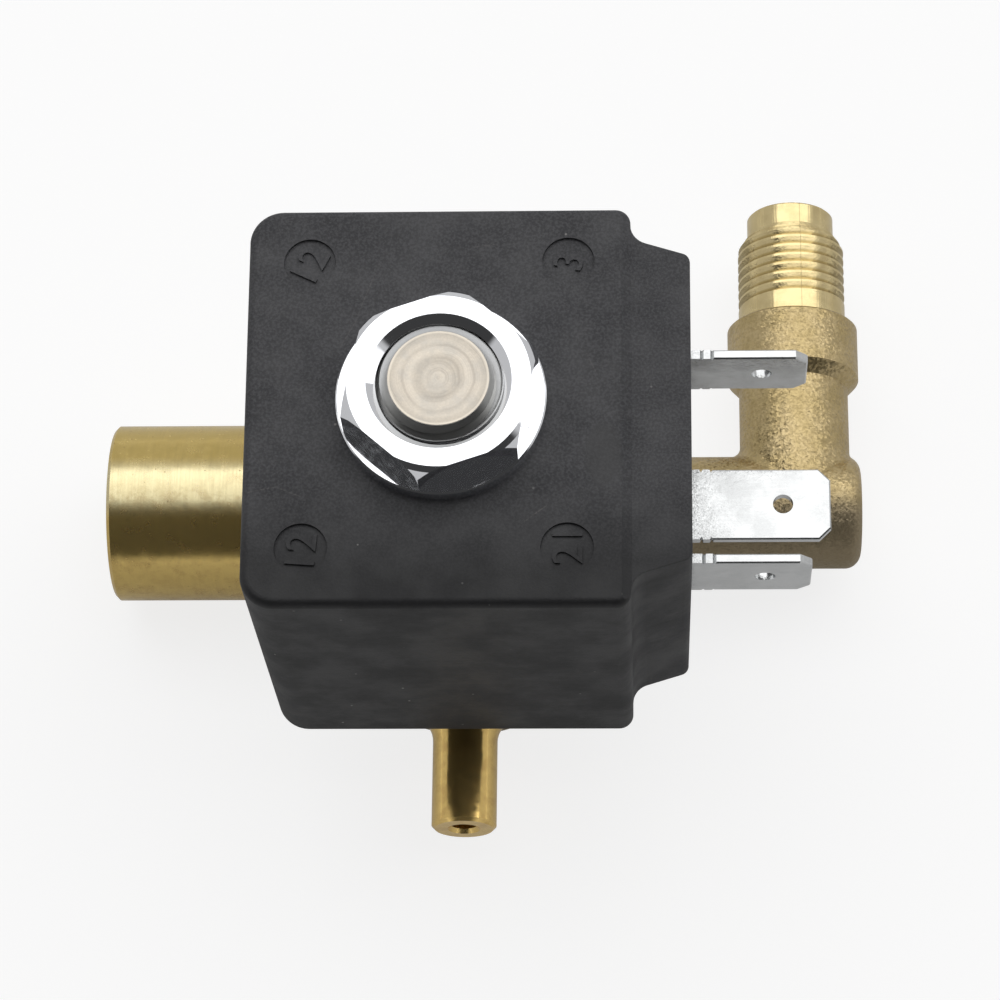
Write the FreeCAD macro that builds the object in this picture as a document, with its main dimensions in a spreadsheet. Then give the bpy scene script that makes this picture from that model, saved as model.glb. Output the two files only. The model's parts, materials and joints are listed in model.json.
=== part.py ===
"""Direct-acting solenoid valve: forged brass body with three ports, armature tube, plunger and moulded coil.

Frame, millimetres: the origin is on the armature tube's axis at the body's flat underside, +Z runs up the
tube towards the nut, +X runs from the inlet boss to the outlet elbow and +Y is the way the outlet points.
Every size is a named cell of the spreadsheet "dims"; sketches and features are bound to those cells.
"""
import FreeCAD, Part
import os

import Sketcher

doc = FreeCAD.newDocument("solenoid_valve")

DIMENSIONS = [
    # ports: the inlet boss and the outlet arm lie along X beside the tube's axis, the forged boss a little further
    ("port_height", 8.0), ("port_offset", 7.0), ("inlet_offset", 7.2),
    # hub of the body, round, under the coil
    ("hub_radius", 11.0), ("hub_height", 15.5), ("hub_chamfer", 0.8),
    # inlet boss with its female thread and the plain end of the tapping hole
    ("inlet_radius", 7.9), ("inlet_reach", 31.8), ("inlet_length", 18.15), ("inlet_chamfer", 0.3),
    ("inlet_thread_depth", 9.0), ("inlet_mouth", 0.7), ("inlet_drill_radius", 4.4), ("inlet_drill_length", 2.0),
    ("shoulder_length", 1.2),
    # pipe thread, 28 to the inch, on the outlet and in the inlet
    ("pipe_major_radius", 4.864), ("pipe_thread_depth", 0.581), ("pipe_pitch", 0.907), ("pipe_crest", 0.12),
    ("thread_overcut", 0.1),
    # arm and elbow
    ("arm_root_radius", 6.2), ("arm_radius", 5.05), ("arm_root_length", 1.4), ("arm_taper_length", 2.5),
    ("arm_overhang", 5.75), ("arm_end_round", 1.4),
    ("neck_reach", 29.46), ("neck_radius", 4.94), ("neck_length", 11.7), ("collar_radius", 5.93),
    ("collar_cone", 1.1), ("collar_length", 6.15), ("collar_edge", 0.2), ("thread_relief", 1.82),
    ("thread_length", 7.95), ("nose_cone", 1.4), ("nose_radius", 3.96), ("nose_length", 3.4), ("nose_edge", 0.2),
    ("crease_round", 1.2),
    # drain spigot
    ("drain_radius", 2.85), ("drain_length", 10.35), ("drain_edge", 0.3), ("drain_boss_radius", 5.25),
    ("drain_boss_length", 1.15), ("drain_flare", 2.4), ("drain_bore_radius", 1.1), ("drain_mouth", 0.35),
    # passages
    ("passage_radius", 2.25), ("outlet_mouth", 0.7), ("link_radius", 1.3), ("link_inset", 2.1),
    ("drill_point", 0.8),
    # threaded chamber for the tube collar, and the seat at its centre
    ("chamber_radius", 9.0), ("chamber_depth", 4.5), ("chamber_mouth", 0.4),
    ("seat_shank_radius", 2.2), ("seat_shank_length", 2.2), ("seat_rise", 1.6), ("seat_rim_radius", 1.75),
    ("seat_taper", 0.9), ("orifice_radius", 1.25), ("orifice_drop", 1.8),
    # two threaded fixing holes in the underside
    ("fixing_radius", 1.65), ("fixing_spacing", 14.0), ("fixing_offset", -3.0), ("fixing_depth", 5.0),
    # armature tube and the collar that screws it down
    ("tube_radius", 6.5), ("tube_wall", 0.5), ("lip_clearance", 0.8), ("lip_thickness", 0.6),
    ("ring_section", 0.65), ("collar_flats", 20.0), ("collar_height", 2.3), ("screw_clearance", 0.02),
    ("slip_clearance", 0.1),
    # fixed core and its stud
    ("core_shoulder", 2.0), ("stud_root_depth", 2.5), ("stud_radius", 4.94), ("stud_chamfer", 1.0), ("stud_rise", 0.45),
    ("stud_pitch", 1.0), ("stud_thread_depth", 0.6), ("stud_crest", 0.12),
    ("shade_inner", 3.9), ("shade_outer", 4.8), ("shade_depth", 1.5),
    # plunger, its seal and its spring
    ("plunger_clearance", 0.08), ("plunger_length", 22.0), ("stroke", 1.5), ("air_gap", 0.1),
    ("seal_radius", 3.0), ("seal_thickness", 2.2), ("seal_proud", 0.4), ("plunger_edge", 0.5),
    ("spring_bore_radius", 3.2), ("spring_bore_depth", 12.0), ("groove_width", 1.6), ("groove_depth", 0.8),
    ("groove_count", 4),
    ("spring_clearance", 0.4), ("spring_wire", 0.3), ("spring_turns", 8.0),
    # coil moulding: a block with a connector block on its +X side
    ("coil_height", 32.2), ("coil_left", 15.7), ("coil_right", 14.85), ("coil_half_depth", 16.95),
    ("coil_splay", 0.25), ("coil_taper", 0.36), ("coil_foot_edge", 0.4), ("coil_corner", 2.7), ("coil_corner_right", 1.2), ("coil_edge", 0.7),
    ("coil_clearance", 0.35),
    ("block_length", 4.73), ("block_inset", 2.55), ("block_draft", 1.5), ("block_taper", 1.3),
    ("block_corner", 0.8), ("block_cove", 1.7), ("block_step", 0.5), ("block_step_width", 0.8),
    ("block_step_inset", 0.75),
    ("stamp_radius", 2.08), ("stamp_depth", 0.25), ("stamp_inset", 4.95), ("stamp_side_inset", 4.75),
    # magnetic frame, bobbin and winding inside the moulding
    ("end_wall", 2.0), ("plate_thickness", 2.0), ("plate_half_width", 10.0),
    ("leg_wall", 1.6), ("leg_thickness", 1.5), ("leg_half_width", 6.5), ("tenon_half_width", 2.5),
    ("bobbin_wall", 1.05), ("bobbin_flange", 1.0), ("bobbin_clearance", 0.2),
    ("bobbin_rim", 0.15), ("tape_thickness", 0.25),
    # blade terminals
    ("blade_width", 6.3), ("blade_thickness", 0.8), ("blade_chamfer", 1.0), ("blade_bevel", 0.12),
    ("blade_spacing", 17.9), ("blade_drop", 14.3), ("blade_length", 9.77), ("blade_root", 14.0),
    ("blade_hole_radius", 0.85), ("blade_hole_inset", 3.75),
    ("notch_gap", 0.9), ("notch_width", 0.3), ("notch_depth", 0.25), ("notch_spacing", 0.85),
    ("notch_count", 2),
    ("earth_drop", 22.85), ("earth_length", 11.92), ("earth_hole_inset", 4.0), ("earth_foot", 3.0),
    ("rivet_radius", 0.9), ("rivet_head_radius", 1.5), ("rivet_head", 0.5),
    ("lead_radius", 0.3),
    # flanged hexagon nut
    ("nut_flats", 14.0), ("nut_height", 4.45), ("nut_angle", 19.0), ("flange_radius", 8.28),
    ("flange_height", 1.4), ("flange_bevel", 0.12), ("nut_crown_radius", 7.19), ("nut_crown_width", 0.46),
    ("nut_crown_slope", 0.58), ("nut_corner_slope", 1.7), ("nut_sink_width", 0.74), ("nut_sink_depth", 0.3),
    ("nut_sink_slope", 0.58), ("crown_slope", 1.2),
]

# Levels and places that follow from the sizes above, as spreadsheet formulas.
DERIVED = [
    ("arm_root_reach", "hub_radius + arm_root_length"),
    ("arm_reach", "neck_reach + arm_overhang"),
    ("collar_start", "port_offset + neck_length"),
    ("collar_top", "collar_start + collar_length"),
    ("thread_start", "collar_top + thread_relief"),
    ("thread_top", "collar_top + thread_length"),
    ("nose_top", "thread_top + nose_length"),
    ("drain_boss_reach", "hub_radius + drain_boss_length"),
    ("drain_reach", "drain_boss_reach + drain_length"),
    ("link_offset", "port_offset - link_inset"),
    ("pipe_minor_radius", "pipe_major_radius - pipe_thread_depth"),
    ("chamber_floor", "hub_height - chamber_depth"),
    ("seat_level", "chamber_floor + seat_rise"),
    ("lip_level", "chamber_floor + 2 * ring_section"),
    ("lip_radius", "chamber_radius - lip_clearance"),
    ("ring_radius", "tube_radius + slip_clearance + ring_section"),
    ("coil_level", "hub_height + collar_height"),
    ("coil_top", "coil_level + coil_height"),
    ("tube_inner_radius", "tube_radius - tube_wall"),
    ("tube_top", "coil_top - stud_root_depth - core_shoulder"),
    ("plunger_radius", "tube_inner_radius - plunger_clearance"),
    ("plunger_level", "seat_level + seal_proud"),
    ("plunger_top", "plunger_level + plunger_length"),
    ("core_level", "plunger_top + stroke + air_gap"),
    ("spring_floor", "plunger_top - spring_bore_depth"),
    ("spring_span", "core_level - spring_floor - 2 * spring_wire"),
    ("spring_radius", "spring_bore_radius - spring_wire - spring_clearance"),
    ("coil_bore_radius", "tube_radius + coil_clearance"),
    ("block_reach", "coil_right + block_length"),
    ("block_root", "coil_half_depth - block_inset"),
    ("block_face", "block_root - block_draft"),
    ("block_step_start", "coil_right - block_step_inset"),
    ("stamp_left", "coil_left - stamp_inset"),
    ("stamp_right", "coil_right - stamp_inset"),
    ("stamp_offset", "coil_half_depth - stamp_side_inset"),
    ("lower_plate_level", "coil_level + end_wall"),
    ("bobbin_level", "lower_plate_level + plate_thickness"),
    ("bobbin_top", "coil_top - end_wall - plate_thickness"),
    ("leg_outside", "coil_left - leg_wall"),
    ("leg_inside", "leg_outside - leg_thickness"),
    ("bobbin_core_radius", "coil_bore_radius + bobbin_wall"),
    ("bobbin_radius", "leg_inside - bobbin_clearance"),
    ("tape_radius", "bobbin_radius - bobbin_rim"),
    ("winding_radius", "tape_radius - tape_thickness"),
    ("blade_level", "coil_top - blade_drop"),
    ("blade_reach", "block_reach + blade_length"),
    ("blade_hole_reach", "blade_reach - blade_hole_inset"),
    ("notch_start", "block_reach + notch_gap"),
    ("earth_level", "coil_top - earth_drop"),
    ("earth_reach", "block_reach + earth_length"),
    ("earth_hole_reach", "earth_reach - earth_hole_inset"),
    ("nut_top", "coil_top + nut_height"),
    ("stud_top", "nut_top + stud_rise"),
    ("nut_bore_radius", "stud_radius + screw_clearance"),
    ("nut_sink_radius", "stud_radius + nut_sink_width"),
]


def fill_sheet():
    """Spreadsheet: one row per size, its name in column A and its value, under that alias, in column B."""
    sheet = doc.addObject("Spreadsheet::Sheet", "dims")
    rows = DIMENSIONS + [(name, "=" + formula) for name, formula in DERIVED]
    for row, (name, content) in enumerate(rows, start=1):
        sheet.set(f"A{row}", name)
        sheet.set(f"B{row}", str(content))
        sheet.setAlias(f"B{row}", name)
    doc.recompute()
    return sheet


sheet = fill_sheet()
NAMES = {name for name, _ in DIMENSIONS + DERIVED}


def bound(formula):
    """An expression for FreeCAD: every size's name in the formula becomes a reference to its cell."""
    words, word = [], ""
    for letter in formula + " ":
        if letter.isalnum() or letter == "_":
            word += letter
            continue
        words.append("dims." + word if word in NAMES else word)
        words.append(letter)
        word = ""
    return "".join(words).strip()


def size(formula):
    """The value in millimetres of one size's name, or of a formula in them."""
    return float(sheet.evalExpression(bound(formula)))


def new_body(label):
    body = doc.addObject("PartDesign::Body", label)
    body.Label = label
    return body


def new_sketch(body, name, plane, shift=None):
    """A sketch on one of the body's own origin planes; shift moves it by formulas in its own x, y, z."""
    sketch = body.newObject("Sketcher::SketchObject", name)
    role = plane + "_Plane"
    sketch.AttachmentSupport = ([f for f in body.Origin.OriginFeatures if f.Role == role][0], [""])
    sketch.MapMode = "FlatFace"
    for letter, formula in (shift or {}).items():
        sketch.setExpression("AttachmentOffset.Base." + letter, bound(formula))
    return sketch


def hold(sketch, kind, geometry, point, formula):
    """Fix one coordinate of a point, counted from the sketch's origin, to a formula."""
    value = size(formula)
    index = sketch.addConstraint(Sketcher.Constraint(kind, -1, 1, geometry, point, value))
    sketch.setExpression(f"Constraints[{index}]", bound(formula))


def outline(sketch, corners):
    """A closed outline of straight lines through corners, each given by two formulas."""
    places = [FreeCAD.Vector(size(x), size(y), 0) for x, y in corners]
    first = sketch.GeometryCount
    for here, there in zip(places, places[1:] + places[:1]):
        sketch.addGeometry(Part.LineSegment(here, there), False)
    for k, (x, y) in enumerate(corners):
        following = first + (k + 1) % len(corners)
        sketch.addConstraint(Sketcher.Constraint("Coincident", first + k, 2, following, 1))
        hold(sketch, "DistanceX", first + k, 1, x)
        hold(sketch, "DistanceY", first + k, 1, y)


def ring(sketch, x, y, radius):
    """A circle about the point x, y, all three given by formulas."""
    centre = FreeCAD.Vector(size(x), size(y), 0)
    index = sketch.addGeometry(Part.Circle(centre, FreeCAD.Vector(0, 0, 1), size(radius)), False)
    hold(sketch, "DistanceX", index, 3, x)
    hold(sketch, "DistanceY", index, 3, y)
    constraint = sketch.addConstraint(Sketcher.Constraint("Radius", index, size(radius)))
    sketch.setExpression(f"Constraints[{constraint}]", bound(radius))


def turned(body, name, plane, corners, axis="V_Axis", shift=None, cut=False):
    """Turn an outline about one axis of its sketch, adding metal or, with cut, taking it away."""
    sketch = new_sketch(body, name + "_outline", plane, shift)
    outline(sketch, corners)
    kind = "PartDesign::Groove" if cut else "PartDesign::Revolution"
    feature = body.newObject(kind, name)
    feature.Profile = sketch
    feature.ReferenceAxis = (sketch, [axis])
    feature.Angle = 360
    return feature


def raised(body, name, plane, draw, length, shift=None, cut=False, both_ways=False, against=False):
    """Extrude what draw puts in a sketch, as a Pad or, with cut, a Pocket of the given length.

    against turns the direction round; a Pocket goes against its sketch's normal unless it is set.
    """
    sketch = new_sketch(body, name + "_outline", plane, shift)
    draw(sketch)
    feature = body.newObject("PartDesign::Pocket" if cut else "PartDesign::Pad", name)
    feature.Profile = sketch
    feature.setExpression("Length", bound(length))
    feature.Midplane = both_ways
    feature.Reversed = against
    return feature


def threaded(body, name, plane, corners, pitch, height, axis="V_Axis", shift=None):
    """Cut a helical groove of the given outline about one axis of its sketch."""
    sketch = new_sketch(body, name + "_outline", plane, shift)
    outline(sketch, corners)
    feature = body.newObject("PartDesign::SubtractiveHelix", name)
    feature.Profile = sketch
    feature.ReferenceAxis = (sketch, [axis])
    feature.Mode = 0
    feature.setExpression("Pitch", bound(pitch))
    feature.setExpression("Height", bound(height))
    return feature


def rounded(body, name, base, chosen, radius, bevel=False):
    """Fillet, or bevel, the edges of base for which chosen(edge) holds."""
    doc.recompute()
    edges = [f"Edge{k}" for k, edge in enumerate(base.Shape.Edges, start=1) if chosen(edge)]
    if not edges:
        raise RuntimeError(f"{body.Label}: no edge for {name}")
    feature = body.newObject("PartDesign::Chamfer" if bevel else "PartDesign::Fillet", name)
    feature.Base = (base, edges)
    feature.setExpression("Size" if bevel else "Radius", bound(radius))
    doc.recompute()
    return feature


def near(value, formula, slack=0.01):
    return abs(value - size(formula)) < slack


# ---------------------------------------------------------------------------------------- the brass body
def valve_body():
    """Forged brass body: hub, inlet boss, outlet arm with its elbow, and the drain spigot."""
    body = new_body("valve_body")
    turned(body, "hub", "XZ", [
        ("0", "0"), ("hub_radius - hub_chamfer", "0"), ("hub_radius", "hub_chamfer"),
        ("hub_radius", "hub_height - hub_chamfer / 2"), ("hub_radius - hub_chamfer / 2", "hub_height"),
        ("0", "hub_height")])

    inlet = {"y": "inlet_offset", "z": "port_height"}
    boss_end = "-(inlet_reach - inlet_length)"
    turned(body, "inlet_boss", "XY", [
        ("-inlet_reach", "0"), ("-inlet_reach", "inlet_radius - inlet_chamfer"),
        ("inlet_chamfer - inlet_reach", "inlet_radius"), (boss_end, "inlet_radius"),
        (boss_end + " + shoulder_length", "arm_root_radius"), ("0", "arm_root_radius"), ("0", "0")],
        "H_Axis", inlet)
    port = {"y": "port_offset", "z": "port_height"}
    arm = turned(body, "arm", "XY", [
        ("0", "0"), ("0", "arm_root_radius"), ("arm_root_reach", "arm_root_radius"),
        ("arm_root_reach + arm_taper_length", "arm_radius"), ("arm_reach", "arm_radius"),
        ("arm_reach", "0")], "H_Axis", port)
    rounded(body, "arm_end", arm, lambda edge: near(edge.CenterOfMass.x, "arm_reach")
            and near(edge.BoundBox.YLength, "2 * arm_radius"), "arm_end_round")

    elbow = {"x": "neck_reach", "z": "port_height"}
    neck = turned(body, "neck", "XY", [
        ("0", "port_offset"), ("neck_radius", "port_offset"), ("neck_radius", "collar_start"),
        ("collar_radius", "collar_start + collar_cone"), ("collar_radius", "collar_top - collar_edge"),
        ("collar_radius - collar_edge", "collar_top"), ("pipe_major_radius", "collar_top"),
        ("pipe_major_radius", "thread_top"), ("nose_radius", "thread_top + nose_cone"),
        ("nose_radius", "nose_top - nose_edge"), ("nose_radius - nose_edge", "nose_top"),
        ("0", "nose_top")], shift=elbow)
    rounded(body, "elbow_crease", neck, lambda edge: type(edge.Curve).__name__ == "BSplineCurve"
            and edge.CenterOfMass.x > size("arm_root_reach"), "crease_round")

    spigot = turned(body, "drain_spigot", "XY", [
        ("0", "0"), ("drain_boss_radius", "0"), ("drain_boss_radius", "-drain_boss_reach"),
        ("drain_radius", "-drain_boss_reach"), ("drain_radius", "drain_edge - drain_reach"),
        ("drain_radius - drain_edge", "-drain_reach"), ("0", "-drain_reach")],
        shift={"z": "port_height"})
    rounded(body, "drain_flare_round", spigot, lambda edge: near(edge.CenterOfMass.y, "-drain_boss_reach")
            and near(edge.BoundBox.XLength, "2 * drain_radius"), "drain_flare - screw_clearance")

    body_passages(body, inlet, port, elbow)
    pipe_threads(body, inlet, elbow)
    return body


def body_passages(body, inlet, port, elbow):
    """The chamber under the tube, the port passages, the link between them and the fixing holes."""
    shank_floor = "chamber_floor - seat_shank_length"
    turned(body, "chamber", "XZ", [
        ("0", shank_floor + " - orifice_drop - drill_point"),
        ("orifice_radius", shank_floor + " - orifice_drop"), ("orifice_radius", shank_floor),
        ("seat_shank_radius", shank_floor), ("seat_shank_radius", "chamber_floor"),
        ("chamber_radius", "chamber_floor"), ("chamber_radius", "hub_height - chamber_mouth"),
        ("chamber_radius + chamber_mouth", "hub_height"), ("chamber_radius", "hub_height + hub_chamfer"),
        ("0", "hub_height + hub_chamfer")], cut=True)
    thread_end = "inlet_thread_depth + pipe_pitch / 2 - inlet_reach"
    drill_end = thread_end + " + inlet_drill_length"
    turned(body, "inlet_hole", "XY", [
        ("-inlet_reach - inlet_mouth", "0"), ("-inlet_reach - inlet_mouth", "pipe_minor_radius + inlet_mouth"),
        ("-inlet_reach", "pipe_minor_radius + inlet_mouth"), ("inlet_mouth - inlet_reach", "pipe_minor_radius"),
        (thread_end, "pipe_minor_radius"), (thread_end, "inlet_drill_radius"), (drill_end, "inlet_drill_radius"),
        (drill_end + " + drill_point", "0")], "H_Axis", inlet, cut=True)
    turned(body, "main_passage", "XY", [
        (drill_end, "0"), (drill_end, "passage_radius"), ("neck_reach + passage_radius", "passage_radius"),
        ("neck_reach + passage_radius + drill_point", "0")], "H_Axis", port, cut=True)
    turned(body, "outlet_passage", "XY", [
        ("0", "port_offset"), ("passage_radius", "port_offset"), ("passage_radius", "nose_top - outlet_mouth"),
        ("passage_radius + outlet_mouth", "nose_top"), ("passage_radius", "nose_top + outlet_mouth"),
        ("0", "nose_top + outlet_mouth")], shift=elbow, cut=True)
    turned(body, "drain_passage", "XY", [
        ("0", "0"), ("drain_bore_radius", "0"), ("drain_bore_radius", "drain_mouth - drain_reach"),
        ("drain_bore_radius + drain_mouth", "-drain_reach"),
        ("drain_bore_radius", "-drain_reach - drain_mouth"), ("0", "-drain_reach - drain_mouth")],
        shift={"z": "port_height"}, cut=True)
    raised(body, "link_passage", "XY", lambda sketch: ring(sketch, "0", "link_offset", "link_radius"),
           "chamber_floor - port_height", {"z": "chamber_floor"}, cut=True)

    def fixings(sketch):
        for side in ("-", ""):
            ring(sketch, side + "fixing_spacing / 2", "fixing_offset", "fixing_radius")
    raised(body, "fixing_holes", "XY", fixings, "fixing_depth", cut=True, against=True)


def pipe_threads(body, inlet, elbow):
    """Helical grooves with flat crests: outside on the outlet, inside in the inlet."""
    half_root = "pipe_crest / 2"
    half_mouth = "(pipe_pitch - pipe_crest) / 2"
    outside = "pipe_major_radius + thread_overcut"
    threaded(body, "outlet_thread", "XY", [
        ("pipe_minor_radius", f"thread_start - {half_root}"), (outside, f"thread_start - {half_mouth}"),
        (outside, f"thread_start + {half_mouth}"), ("pipe_minor_radius", f"thread_start + {half_root}")],
        "pipe_pitch", "thread_top + nose_cone - thread_start", shift=elbow)
    inside = "pipe_minor_radius - thread_overcut"
    threaded(body, "inlet_thread", "XY", [
        (f"-inlet_reach - {half_root}", "pipe_major_radius"), (f"-inlet_reach - {half_mouth}", inside),
        (f"{half_mouth} - inlet_reach", inside), (f"{half_root} - inlet_reach", "pipe_major_radius")],
        "pipe_pitch", "inlet_thread_depth", "H_Axis", inlet)


def seat_insert():
    """Pressed-in seat: a shank in the chamber floor and a tapered rim round the orifice."""
    body = new_body("seat_insert")
    foot = "chamber_floor - seat_shank_length"
    turned(body, "seat", "XZ", [
        ("orifice_radius", foot), ("seat_shank_radius", foot), ("seat_shank_radius", "seat_level - seat_taper"),
        ("seat_rim_radius", "seat_level"), ("orifice_radius", "seat_level")])
    return body


# ------------------------------------------------------------------------- the armature tube and its core
def tube_o_ring():
    """Sealing ring between the chamber floor and the tube's lip."""
    seal = doc.addObject("Part::Torus", "tube_o_ring")
    seal.Label = "tube_o_ring"
    seal.setExpression("Radius1", bound("ring_radius"))
    seal.setExpression("Radius2", bound("ring_section"))
    seal.setExpression("Placement.Base.z", bound("chamber_floor + ring_section"))
    return seal


def armature_tube():
    """Drawn steel tube with its foot turned out into a lip."""
    body = new_body("armature_tube")
    lip_top = "lip_level + lip_thickness"
    turned(body, "tube", "XZ", [
        ("tube_inner_radius", "lip_level"), ("lip_radius", "lip_level"), ("lip_radius", lip_top),
        ("tube_radius", lip_top), ("tube_radius", "tube_top"), ("tube_inner_radius", "tube_top")])
    return body


def hexagon(sketch, flats):
    """A hexagon about the sketch's origin, with corners on its x axis."""
    corner, half_corner, half_flats = f"{flats} / sqrt(3)", f"{flats} / sqrt(3) / 2", f"{flats} / 2"
    outline(sketch, [(corner, "0"), (half_corner, half_flats), ("-" + half_corner, half_flats),
                     ("-" + corner, "0"), ("-" + half_corner, "-" + half_flats), (half_corner, "-" + half_flats)])


def tube_collar():
    """Threaded collar that clamps the tube's lip; the coil rests on its hexagon."""
    body = new_body("tube_collar")
    foot = "lip_level + lip_thickness"
    shank = "chamber_radius - screw_clearance"
    turned(body, "shank", "XZ", [("0", foot), (shank, foot), (shank, "hub_height"), ("0", "hub_height")])
    raised(body, "hexagon", "XY", lambda sketch: hexagon(sketch, "collar_flats"), "collar_height",
           {"z": "hub_height"})
    crown = "collar_flats / 2"
    turned(body, "hexagon_crown", "XZ", [
        (crown, "coil_level"), ("collar_flats", "coil_level"), ("collar_flats", "hub_height"),
        (f"{crown} + collar_flats / 2", "coil_level - collar_flats / 2 * crown_slope")], cut=True)
    raised(body, "bore", "XY", lambda sketch: ring(sketch, "0", "0", "tube_radius + slip_clearance"),
           "coil_level - lip_level", {"z": "coil_level"}, cut=True)
    return body


def fixed_core():
    """Fixed core, welded into the top of the tube, with the threaded stud that carries the nut."""
    body = new_body("fixed_core")
    shoulder = "tube_top + core_shoulder"
    turned(body, "core", "XZ", [
        ("0", "core_level"), ("shade_inner", "core_level"), ("shade_inner", "core_level + shade_depth"),
        ("shade_outer", "core_level + shade_depth"), ("shade_outer", "core_level"),
        ("tube_inner_radius", "core_level"), ("tube_inner_radius", "tube_top"), ("tube_radius", "tube_top"),
        ("tube_radius", shoulder), ("stud_radius", shoulder), ("stud_radius", "stud_top - stud_chamfer"),
        ("stud_radius - stud_chamfer", "stud_top"), ("0", "stud_top")])
    root = "stud_radius - stud_thread_depth"
    outside = "stud_radius + thread_overcut"
    start = f"{shoulder} + stud_pitch"
    half_mouth = "(stud_pitch - stud_crest) / 2"
    threaded(body, "stud_thread", "XZ", [
        (root, f"{start} - stud_crest / 2"), (outside, f"{start} - {half_mouth}"),
        (outside, f"{start} + {half_mouth}"), (root, f"{start} + stud_crest / 2")],
        "stud_pitch", f"stud_top - ({start})")
    return body


def shading_ring():
    """Copper ring in the core's face, which stops the plunger chattering on alternating current."""
    body = new_body("shading_ring")
    turned(body, "ring", "XZ", [
        ("shade_inner", "core_level"), ("shade_outer", "core_level"),
        ("shade_outer", "core_level + shade_depth"), ("shade_inner", "core_level + shade_depth")])
    return body


def hex_flange_nut():
    """Hexagon nut with a flange, which holds the coil down on the collar."""
    body = new_body("hex_flange_nut")
    body.Placement = FreeCAD.Placement(FreeCAD.Vector(), FreeCAD.Rotation(FreeCAD.Vector(0, 0, 1), 1))
    body.setExpression("Placement.Rotation.Angle", bound("nut_angle"))
    raised(body, "hexagon", "XY", lambda sketch: hexagon(sketch, "nut_flats"), "nut_height", {"z": "coil_top"})
    crown_edge = "(nut_crown_radius + nut_crown_width)"
    crown_foot = "nut_top - nut_crown_width * nut_crown_slope"
    turned(body, "crown", "XZ", [
        ("nut_crown_radius", "nut_top"), ("nut_flats", "nut_top"),
        ("nut_flats", f"{crown_foot} - (nut_flats - {crown_edge}) * nut_corner_slope"),
        (crown_edge, crown_foot)], cut=True)
    rim = "coil_top + flange_height"
    turned(body, "flange", "XZ", [
        ("0", "coil_top"), ("flange_radius", "coil_top"), ("flange_radius", f"{rim} - flange_bevel"),
        ("flange_radius - flange_bevel", rim), ("0", rim)])
    sink, over = "(nut_sink_radius - nut_bore_radius) * nut_sink_slope", "nut_sink_depth * nut_sink_slope"
    mouth = "nut_sink_radius + nut_sink_depth"
    turned(body, "bore", "XZ", [
        ("0", f"coil_top - {over}"), (mouth, f"coil_top - {over}"), ("nut_bore_radius", f"coil_top + {sink}"),
        ("nut_bore_radius", f"nut_top - {sink}"), (mouth, f"nut_top + {over}"), ("0", f"nut_top + {over}")],
        cut=True)
    return body


# -------------------------------------------------------------------------------- what moves in the tube
def plunger():
    """Plunger: seal recess below, spring bore above and grooves that let the fluid past."""
    body = new_body("plunger")
    recess = "seat_level + seal_thickness"
    turned(body, "slug", "XZ", [
        ("seal_radius", "plunger_level"), ("plunger_radius - plunger_edge", "plunger_level"),
        ("plunger_radius", "plunger_level + plunger_edge"), ("plunger_radius", "plunger_top - plunger_edge"),
        ("plunger_radius - plunger_edge", "plunger_top"), ("spring_bore_radius", "plunger_top"),
        ("spring_bore_radius", "spring_floor"), ("0", "spring_floor"), ("0", recess), ("seal_radius", recess)])
    inside = "plunger_radius - groove_depth"
    groove = raised(body, "groove", "XY", lambda sketch: outline(sketch, [
        (inside, "-groove_width / 2"), ("tube_radius", "-groove_width / 2"),
        ("tube_radius", "groove_width / 2"), (inside, "groove_width / 2")]),
        "plunger_length", {"z": "plunger_top"}, cut=True)
    doc.recompute()
    pattern = body.newObject("PartDesign::PolarPattern", "grooves")
    pattern.Originals = [groove]
    pattern.Axis = (groove.Profile[0], ["N_Axis"])
    pattern.Angle = 360
    pattern.setExpression("Occurrences", bound("groove_count"))
    body.Tip = pattern
    return body


def plunger_seal():
    """Rubber disc in the plunger's foot, which closes the orifice."""
    body = new_body("plunger_seal")
    raised(body, "disc", "XY", lambda sketch: ring(sketch, "0", "0", "seal_radius"), "seal_thickness",
           {"z": "seat_level"})
    return body


def return_spring():
    """Compression spring between the plunger's bore and the fixed core: a wire along a helix."""
    body = new_body("return_spring")
    sketch = new_sketch(body, "wire_outline", "XZ", {"y": "spring_floor + spring_wire"})
    ring(sketch, "spring_radius", "0", "spring_wire")
    wire = body.newObject("PartDesign::AdditiveHelix", "wire")
    wire.Profile = sketch
    wire.ReferenceAxis = (sketch, ["V_Axis"])
    wire.Mode = 0
    wire.setExpression("Pitch", bound("spring_span / spring_turns"))
    wire.setExpression("Height", bound("spring_span"))
    return body


# ------------------------------------------------------------------------------ what the coil's moulding holds
def rectangle(sketch, x_low, x_high, half_width):
    outline(sketch, [(x_low, f"-({half_width})"), (x_high, f"-({half_width})"), (x_high, half_width),
                     (x_low, half_width)])


def rivet_level():
    return "earth_level - earth_foot / 2"


def yoke_bracket():
    """Steel bracket under and beside the winding: lower plate, two legs and the tenons on them."""
    body = new_body("yoke_bracket")

    def lower_plate(sketch):
        rectangle(sketch, "-leg_outside", "leg_outside", "plate_half_width")
        ring(sketch, "0", "0", "coil_bore_radius")
    raised(body, "lower_plate", "XY", lower_plate, "plate_thickness", {"z": "lower_plate_level"})

    def both_legs(half_width):
        def draw(sketch):
            rectangle(sketch, "-leg_outside", "-leg_inside", half_width)
            rectangle(sketch, "leg_inside", "leg_outside", half_width)
        return draw
    raised(body, "legs", "XY", both_legs("leg_half_width"), "bobbin_top - bobbin_level", {"z": "bobbin_level"})
    raised(body, "tenons", "XY", both_legs("tenon_half_width"), "plate_thickness", {"z": "bobbin_top"})
    raised(body, "rivet_hole", "YZ", lambda sketch: ring(sketch, "0", rivet_level(), "rivet_radius"),
           "leg_outside", cut=True, against=True)
    return body


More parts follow.
